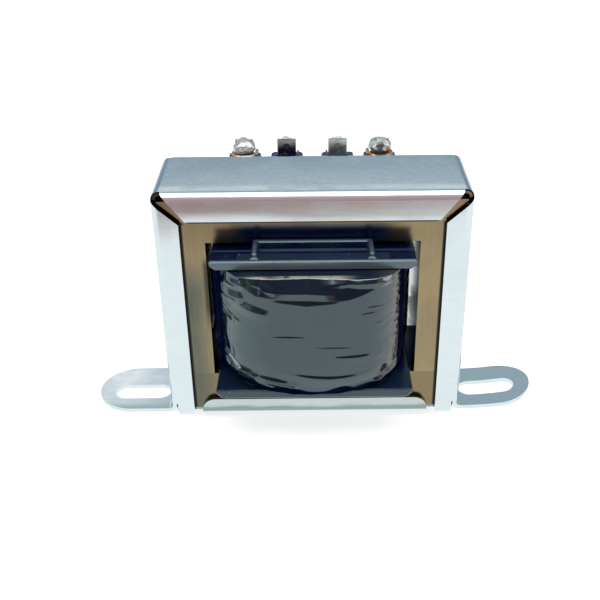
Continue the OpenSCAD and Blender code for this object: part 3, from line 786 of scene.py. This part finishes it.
def tapeSurface():
    grid, tucks = plainSleeve()
    flat = grid.reshape(-1, 3) / mm
    x, y, z = flat.T
    fromFoot, fromTop = z - z.min(), z.max() - z
    shiftX, shiftZ = tape["rearShift"]
    foldX = np.where(y < 0, x, shiftX - x)
    foldZ = np.where(y < 0, z, z - shiftZ)
    above = foldZ - np.interp(foldX, *zip(*slackLine))
    lift = foldHeights(foldX, foldZ) - tape["lean"] * softly(above, tape["leanSoft"])
    lift -= tape["steeper"] * softly(above - tape["steepFrom"], tape["steepSoft"])
    start, over = tape["rippled"]
    lift += np.clip((foldX - start) / over, 0, 1) * pucker("right", flat)
    lift += pucker("fine", flat) + pucker("broad", flat)
    ends = bell(fromFoot, tape["footReach"]) + tape["topShare"] * bell(fromTop, tape["topReach"])
    lift += ends * pucker("ends", flat)
    lift = lift * np.clip(np.abs(y) / tape["flatSides"], 0, 1) - np.repeat(tucks, grid.shape[1])
    reach = np.hypot(x, y)
    out = np.stack([x / reach, y / reach, np.zeros_like(x)], 1)
    shaped = flat + out * lift[:, None]
    # the sides bulge between the core's legs, more on the left
    waistFoot, waistTop = tape["waist"]
    aside = np.clip(fromFoot / waistFoot, 0, 1) * np.clip(fromTop / waistTop, 0, 1)
    start, over = tape["bulgedFrom"]
    aside *= np.clip((np.abs(x) - start) / over, 0, 1)
    for side, push, middle, spread, power in tape["bulges"]:
        shaped[:, 0] += np.where(x * side > 0, push, 0) * aside * bell(y - middle, spread, power)
    start, over = tape["sagDeep"]
    sag = bell(fromFoot, tape["sagReach"]) * np.clip((-y - start) / over, 0, 1)
    shaped[:, 2] -= sag * (tape["sag"] + pucker("sag", flat))
    return (shaped * mm).reshape(grid.shape)


def sleeveMesh(name, outer, thickness, innerRows):
    rows, columns = outer.shape[:2]
    picked = outer[np.linspace(0, rows - 1, innerRows).astype(int)]
    reach = np.hypot(picked[..., 0], picked[..., 1])
    inner = picked.copy()
    for axis in (0, 1):
        inner[..., axis] -= picked[..., axis] / reach * thickness
    points = np.concatenate([outer.reshape(-1, 3), inner[::-1].reshape(-1, 3)])
    levels = rows + innerRows
    faces = []
    for level in range(levels):
        below, above = level * columns, (level + 1) % levels * columns
        for i in range(columns):
            after = (i + 1) % columns
            faces.append((below + i, below + after, above + after, above + i))
    mesh = bpy.data.meshes.new(name)
    mesh.from_pydata([tuple(p) for p in points], [], faces)
    mesh.validate()
    return mesh


def tapeFilm():
    s = newShades("tapeFilm")
    at = s.millimetres()
    across, deep, up = s.split(at)
    aside = abs(across)
    cloud = s.step(s.grain(at, tape["cloud"], detail=3), *tape["cloudy"])
    drag = s.grain(s.millimetres(tape["dragStretch"]), tape["drag"], detail=3)

    def waver(size, height, stretch=(1, 1, 1), detail=2.0):
        return (s.grain(s.millimetres(stretch), size, detail) - 0.5) * height

    outside = aside - s.sides(across, *tape["cornerAside"])
    places = {
        "across": across, "deep": deep, "far": abs(deep), "cloud": cloud,
        "ragged": up + waver(*tape["ragged"]),
        "worn": s.grain(s.millimetres(tape["rimStretch"]), tape["rimWear"], detail=3),
        "outside": outside + waver(*tape["cornerWave"], tape["cornerStretch"]),
    }
    rim = s.where(tape["rimAt"], places)
    black = s.blend(cloud * tape["smokeShare"], tape["slate"], tape["smoke"])
    black = s.blend(s.where(tape["tealAt"], places), black, tape["teal"])
    black = s.blend(s.where(tape["warmAt"], places), black, tape["warm"])
    foot = up - aside * aside * tape["footBow"]
    foot += waver(*tape["footWave"], tape["footStretch"], detail=0)
    corner = s.where(tape["cornerAt"], places)
    glossy = s.principled({
        "Base Color": s.blend(rim, black, tape["clear"]),
        "Roughness": tape["roughness"] + cloud * tape["cloudRough"] + rim * tape["rimRough"],
        "IOR": tape["ior"],
        "Specular IOR Level": 1.0,
        "Specular Tint": tape["tint"],
        "Normal": s.bump(drag, tape["dragDepth"], strength=0.2),
    })
    # painted shade: the corners and the ragged foot get a dark shader without gloss
    dark = s.principled({
        "Base Color": s.blend(cloud * tape["cornerSmoke"], tape["flank"], tape["smoke"]),
        "Roughness": tape["cornerRough"],
        "Specular IOR Level": 0.0,
        "Normal": s.bump(drag, tape["cornerDepth"], strength=0.5),
    })
    inDark = corner + s.step(foot, *tape["footUp"]) * (1 - corner)
    return s.surface(s.mixed(inDark, glossy, dark))


tapeMesh = sleeveMesh("coilTape", tapeSurface(), tape["thickness"], tape["innerRows"])
tapePiece = newPiece("coilTape", tapeMesh, tapeFilm())
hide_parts("tape_wrap")
print("tape made with", len(tapeMesh.polygons), "faces")


# Terminals: dull tinned lugs under lumps of solder, which coats the two outer lugs all over
lugLook = {
    # lug 2 is near black and lug 3 grey-green, both lighter at the top
    "tints": {2: (0.03, 0.035, 0.10, 1), 3: (0.32, 0.39, 0.37, 1)},
    "tops": {2: (0.26, 0.26, 0.23, 1), 3: (0.48, 0.52, 0.48, 1)},
    "topUp": (35.3, 36.5),
    "bright": (0.72, 0.74, 0.73, 1),
    "brightShare": 0.35,
    "smear": 0.9,
    "smeared": (0.45, 0.7),
    "smearDepth": 0.03 * mm,
    "smearRough": 0.2,
    "roughness": 0.3,
    "metallic": 0.9,
    "shift": 7,                      # between the patterns of two lugs, in mm
}
solder = {
    "silver": (0.74, 0.74, 0.67, 1),
    "frost": (0.56, 0.56, 0.50, 1),
    "frontDark": (0.06, 0.07, 0.09, 1),
    "frontGrey": (0.30, 0.34, 0.33, 1),
    "copper": (0.62, 0.28, 0.11, 1),
    "frostSize": 0.5,
    "frosted": (0.45, 0.65),
    "frostRough": 0.12,
    "roughness": 0.42,
    "pimple": 0.35,
    "pimpleDepth": 0.05 * mm,
    "darkSpot": (9.8, 8.6, 36.4),         # places in mm of a dark spot and of bared copper on the last joint, with their soft edges
    "darkSpotEdge": (0.75, 0.5),          # joint, with their soft edges
    "darkSpotShare": 0.85,
    "bared": (11.2, 9.0, 35.4),
    "baredEdge": (0.75, 0.55),
    "frontDarkAt": {"aside": [(6.4, 6.0)], "deep": [(11.3, 10.9)], "up": [(36.8, 36.6)]},
    "paleAt": {"aside": [(5.2, 5.0)], "across": [(-1, 1)]},
    "holeDrop": 1.1 * mm,            # of the lug's hole below its top
    "holeRadius": 0.53 * mm,
    "fineness": 5,
    "finer": (2.3, 0.5),             # how much smaller and how high the lumps on the lumps are
    "full": 6,                       # powers: how sharply a joint fills its box and how its top
    "taper": 1.5,                    # narrows
    "seeds": (9, 5),
    # for each joint: how lumpy it is, the size of its lumps, how much narrower its top is, its lean
    # in degrees, and in mm how far it runs down over the wire and the y to which it fills the hole
    1: {"lump": 0.2, "size": 0.9, "narrow": 0.5, "lean": -5, "run": 0.3, "plug": None},
    2: {"lump": 0.34, "size": 0.45, "narrow": 0.2, "lean": 0, "run": 0.0, "plug": 10.09},
    3: {"lump": 0.34, "size": 0.5, "narrow": 0.3, "lean": 0, "run": 0.0, "plug": 10.09},
    4: {"lump": 0.18, "size": 0.8, "narrow": 0.45, "lean": -12, "run": 0.15, "plug": None},
}


def lugTin(i):
    look = lugLook
    s = newShades(f"lugTin{i}")
    at = s.millimetres(shift=(look["shift"] * i, 0, 0))
    smear = s.step(s.grain(at, look["smear"], detail=3), *look["smeared"])
    top = s.step(s.split(at)[2], *look["topUp"])
    tinned = s.blend(top, look["tints"][i], look["tops"][i])
    return s.surface(s.principled({
        "Base Color": s.blend(smear * look["brightShare"], tinned, look["bright"]),
        "Metallic": look["metallic"],
        "Roughness": look["roughness"] + smear * look["smearRough"],
        "Normal": s.bump(smear, look["smearDepth"], strength=0.5),
    }))


def solderMetal():
    s = newShades("solderMetal")
    at = s.millimetres()
    across, deep, up = s.split(at)
    places = {"across": across, "aside": abs(across), "deep": deep, "up": up}
    frost = s.step(s.grain(at, solder["frostSize"], detail=4), *solder["frosted"])
    pimples = s.grain(at, solder["pimple"], detail=3)
    metal = s.blend(frost, solder["silver"], solder["frost"])
    metal = s.blend(s.near(at, solder["bared"], solder["baredEdge"]), metal, solder["copper"])
    # the middle joints fill the lugs' holes, dark on the left and grey-green on the right
    darkSpot = s.near(at, solder["darkSpot"], solder["darkSpotEdge"]) * solder["darkSpotShare"]
    dark = s.where(solder["frontDarkAt"], places) + darkSpot
    frontColour = s.blend(s.where(solder["paleAt"], places), solder["frontDark"], solder["frontGrey"])
    return s.surface(s.principled({
        "Base Color": s.blend(dark, metal, frontColour),
        "Metallic": 1.0,
        "Roughness": solder["roughness"] + frost * solder["frostRough"],
        "Normal": s.bump(pimples, solder["pimpleDepth"], strength=0.5),
    }))


def solderLump(i, material):
    look = solder[i]
    low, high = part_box(f"solder_joint_{i}")
    low.z -= look["run"] * mm
    centre, half = (low + high) / 2, (high - low) / 2
    lugLow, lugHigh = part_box(f"terminal_lug_{i}")
    holeX, holeZ = (lugLow.x + lugHigh.x) / 2, lugHigh.z - solder["holeDrop"]
    tilt = Matrix.Rotation(math.radians(look["lean"]), 3, "Y")
    first, second = solder["seeds"]
    smaller, share = solder["finer"]
    full = solder["full"]
    built = bmesh.new()
    bmesh.ops.create_icosphere(built, subdivisions=solder["fineness"], radius=1)
    for vert in built.verts:
        way = vert.co.copy()
        bumps = noise.noise(way / look["size"] + Vector((first * i, 0, 0)))
        bumps += share * noise.noise(way * smaller / look["size"] + Vector((0, second * i, 0)))
        point = tilt @ (way * (1 + look["lump"] * bumps))
        point.x *= 1 - look["narrow"] * max(point.z, 0) ** solder["taper"]
        reach = [v / (1 + abs(v) ** full) ** (1 / full) for v in point]
        vert.co = centre + Vector(h * v for h, v in zip(half, reach))
        fromHole = math.hypot(vert.co.x - holeX, vert.co.z - holeZ)
        if look["plug"] and way.y < 0 and fromHole < solder["holeRadius"]:
            vert.co.y = look["plug"] * mm
    mesh = bpy.data.meshes.new(f"solder{i}")
    built.to_mesh(mesh)
    built.free()
    piece = newPiece(f"solderJoint{i}", mesh, material)
    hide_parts(f"solder_joint_{i}")


solderMaterial = solderMetal()
for i in range(1, 5):
    dress(nodes[f"terminal_lug_{i}"], lugTin(i) if i in lugLook["tints"] else solderMaterial)
    solderLump(i, solderMaterial)
print("terminals done")


# Camera, from the photograph's own perspective
view = {
    "place": (0.225, -120.33, 83.7),   # in mm
    "pitch": 30.81,
    "yaw": 0.33,
    "roll": -0.42,
    "focal": 939.3,                    # in pixels, as are the middle and the picture's width
    "middle": (20.1, 23.1),
    "picture": 600,
    "sensor": 36,
    "nearest": 0.005,
}


def addCamera():
    data = bpy.data.cameras.new("camera")
    data.sensor_width = view["sensor"]
    data.lens = view["focal"] * data.sensor_width / view["picture"]
    data.shift_x = -view["middle"][0] / view["picture"]
    data.shift_y = view["middle"][1] / view["picture"]
    data.clip_start = view["nearest"]
    pitch, yaw, roll = (math.radians(view[k]) for k in ("pitch", "yaw", "roll"))
    flat = math.cos(pitch)
    ahead = Vector((math.sin(yaw) * flat, math.cos(yaw) * flat, -math.sin(pitch)))
    level = Vector((math.cos(yaw), -math.sin(yaw), 0))
    rise = level.cross(ahead)
    right = math.cos(roll) * level + math.sin(roll) * rise
    up = math.cos(roll) * rise - math.sin(roll) * level
    turn = Matrix((right, up, -ahead)).transposed().to_4x4()
    camera = addObject("camera", data)
    camera.matrix_world = Matrix.Translation(Vector(view["place"]) * mm) @ turn
    bpy.context.scene.camera = camera


addCamera()
print("camera set")


# Studio: a white floor, a soft room and three soft lamps. In reflections the floor is white near
# the object and turns to the mauve and then the dark of the room in front of it.
studio = {
    "floor": 1.2,                # half width in metres
    "lit": (0.5, 0.5, 0.5, 1),   # what the camera sees of the floor: this with its shadows, and a
    "glow": 0.72,                # white glow
    "plain": (0.8, 0.8, 0.8, 1),
    "slant": -0.18,              # how the edge of the white slants, from left to right
    "whiteEnds": (0.072, 0.095),
    "darkStarts": (0.115, 0.16),
    "white": (0.95, 1.0, 1.0, 1),
    "mauve": (0.36, 0.245, 0.225, 1),
    "dark": (0.075, 0.06, 0.07, 1),
    # colours of the room by height, as the sine of the elevation
    "front": [
        (0.0, (0.075, 0.06, 0.07, 1)), (0.70, (0.09, 0.08, 0.085, 1)),
        (0.82, (0.42, 0.40, 0.40, 1)),
    ],
    "sides": (0.36, 0.41, 0.44, 1),
    "sidesStart": (0.5, 0.68),
    "ceiling": (2.2, 2.2, 2.2, 1),
    "ceilingStarts": (0.82, 0.88),
    "back": [
        (0.25, (0.20, 0.29, 0.37, 1)), (0.368, (0.21, 0.30, 0.38, 1)), (0.41, (0.95, 1.0, 1.0, 1)),
        (0.45, (0.37, 0.47, 0.52, 1)), (0.75, (0.28, 0.37, 0.42, 1)), (0.95, (1.0, 1.0, 1.0, 1)),
    ],
    "backStarts": (-0.12, 0.15),
    "leftBox": (1.08, 1.12, 1.12, 1),
    "rightBox": (0.22, 0.33, 0.38, 1),
    "boxAt": {"aside": [(0.11, 0.2), (0.66, 0.56)], "up": [(0.46, 0.5), (0.59, 0.55)]},
    "boxTurn": (-0.05, 0.05),
    "aim": (0, 0, 0.015),
}
lamps = {
    "overhead": {"place": (0, -0.03, 0.42), "size": (0.5, 0.36), "watts": 1.0},
    "left": {"place": (-0.4, -0.16, 0.22), "size": (0.2, 0.3), "watts": 0.5},
    "right": {"place": (0.4, -0.12, 0.2), "size": (0.2, 0.3), "watts": 0.5},
}


def floorWhite():
    s = newShades("floorWhite")
    path = s.node("ShaderNodeLightPath")
    across, deep = s.split(s.node("ShaderNodeTexCoord").out("Object"))[:2]
    ahead = across * studio["slant"] - deep
    pool = s.blend(s.step(ahead, *studio["whiteEnds"]), studio["white"], studio["mauve"])
    glow = s.blend(s.step(ahead, *studio["darkStarts"]), pool, studio["dark"])
    plain = s.node("ShaderNodeBsdfDiffuse", None, {"Color": studio["plain"]})
    mirrored = s.node("ShaderNodeEmission", None, {"Color": glow})
    lit = s.node("ShaderNodeBsdfDiffuse", None, {"Color": studio["lit"]})
    sockets = {"Color": (1, 1, 1, 1), "Strength": studio["glow"]}
    white = s.node("ShaderNodeEmission", None, sockets)
    seen = s.node("ShaderNodeAddShader", None, {0: lit, 1: white})
    glossy = path.out("Is Glossy Ray") + path.out("Is Transmission Ray")
    unseen = s.mixed(glossy, plain, mirrored)
    return s.surface(s.mixed(path.out("Is Camera Ray"), unseen, seen))


def addFloor():
    half = studio["floor"]
    corners = [(-half, -half, 0), (half, -half, 0), (half, half, 0), (-half, half, 0)]
    mesh = bpy.data.meshes.new("floor")
    mesh.from_pydata(corners, [], [(0, 1, 2, 3)])
    floor = addObject("floor", mesh)
    dress(floor, floorWhite())


def addRoom():
    world = bpy.data.worlds.new("room")
    bpy.context.scene.world = world
    s = Shades(world)
    path = s.node("ShaderNodeLightPath")
    across, deep, up = s.split(s.node("ShaderNodeTexCoord").out("Generated"))
    aside = abs(across)
    low = s.node("ShaderNodeValToRGB", {"stops": studio["front"]}, {0: up})
    low = s.blend(s.step(aside, *studio["sidesStart"]), low, studio["sides"])
    front = s.blend(s.step(up, *studio["ceilingStarts"]), low, studio["ceiling"])
    wall = s.node("ShaderNodeValToRGB", {"stops": studio["back"]}, {0: up})
    toRight = s.step(across, *studio["boxTurn"])
    box = s.blend(toRight, studio["leftBox"], studio["rightBox"])
    back = s.blend(s.where(studio["boxAt"], {"aside": aside, "up": up}), wall, box)
    around = s.blend(s.step(deep, *studio["backStarts"]), front, back)
    room = s.node("ShaderNodeBackground", None, {"Color": around})
    white = s.node("ShaderNodeBackground", None, {"Color": (1, 1, 1, 1)})
    whole = s.mixed(path.out("Is Camera Ray"), room, white)
    s.node("ShaderNodeOutputWorld", None, {"Surface": whole})


def addLamp(name, look):
    data = bpy.data.lights.new(name, "AREA")
    data.shape = "RECTANGLE"
    data.size, data.size_y = look["size"]
    data.energy = look["watts"]
    lamp = addObject(name, data)
    lamp.location = look["place"]
    aim = Vector(studio["aim"]) - lamp.location
    lamp.rotation_euler = aim.to_track_quat("-Z", "Y").to_euler()


addFloor()
addRoom()
for name, look in lamps.items():
    addLamp(name, look)
bpy.context.scene.view_settings.view_transform = "Standard"
print("studio done")
